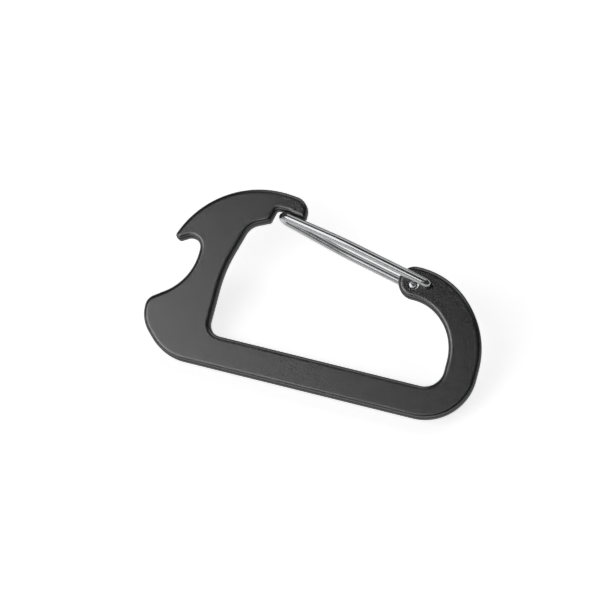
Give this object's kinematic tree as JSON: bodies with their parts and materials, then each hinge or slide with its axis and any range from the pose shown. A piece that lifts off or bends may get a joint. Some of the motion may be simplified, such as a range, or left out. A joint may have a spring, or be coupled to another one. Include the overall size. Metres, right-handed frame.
{
  "type": "carabiner with bottle opener",
  "caption": "Flat plate carabiner with a bottle-opener notch in its hook and a sprung wire gate.",
  "frame": {"origin": "centre of the plate's overall box, at the middle of its thickness", "axes": "+X along the long bar towards the arm that carries the gate, +Y across the bar towards the gate, +Z out of the plate's front face"},
  "size_m": [0.0764, 0.0425, 0.0086],
  "materials": {
    "body": "black anodised, fine bead-blasted",
    "wire": "bright drawn spring wire"
  },
  "bodies": {
    "plate": {"body_plate": "body"},
    "gate_front": {"gate_wire_front": "wire"},
    "gate_rear": {"gate_wire_rear": "wire"}
  },
  "joints": [
    {"name": "gate_swing", "type": "hinge", "parent": "plate", "child": "gate_front", "pos_m": [0.0227, 0.0084, 0], "axis": [0, 0, 1], "range_deg": [0, 36], "stiffness_Nm_per_rad": 0.15, "springref_deg": -8.59},
    {"name": "loop_flex", "type": "hinge", "parent": "gate_front", "child": "gate_rear", "pos_m": [-0.0131, 0.01585, 0], "axis": [0, 0, 1], "range_deg": [0, 4]}
  ],
  "couplings": [
    {"joint": "loop_flex", "follows": "gate_swing", "ratio": 0.1}
  ]
}
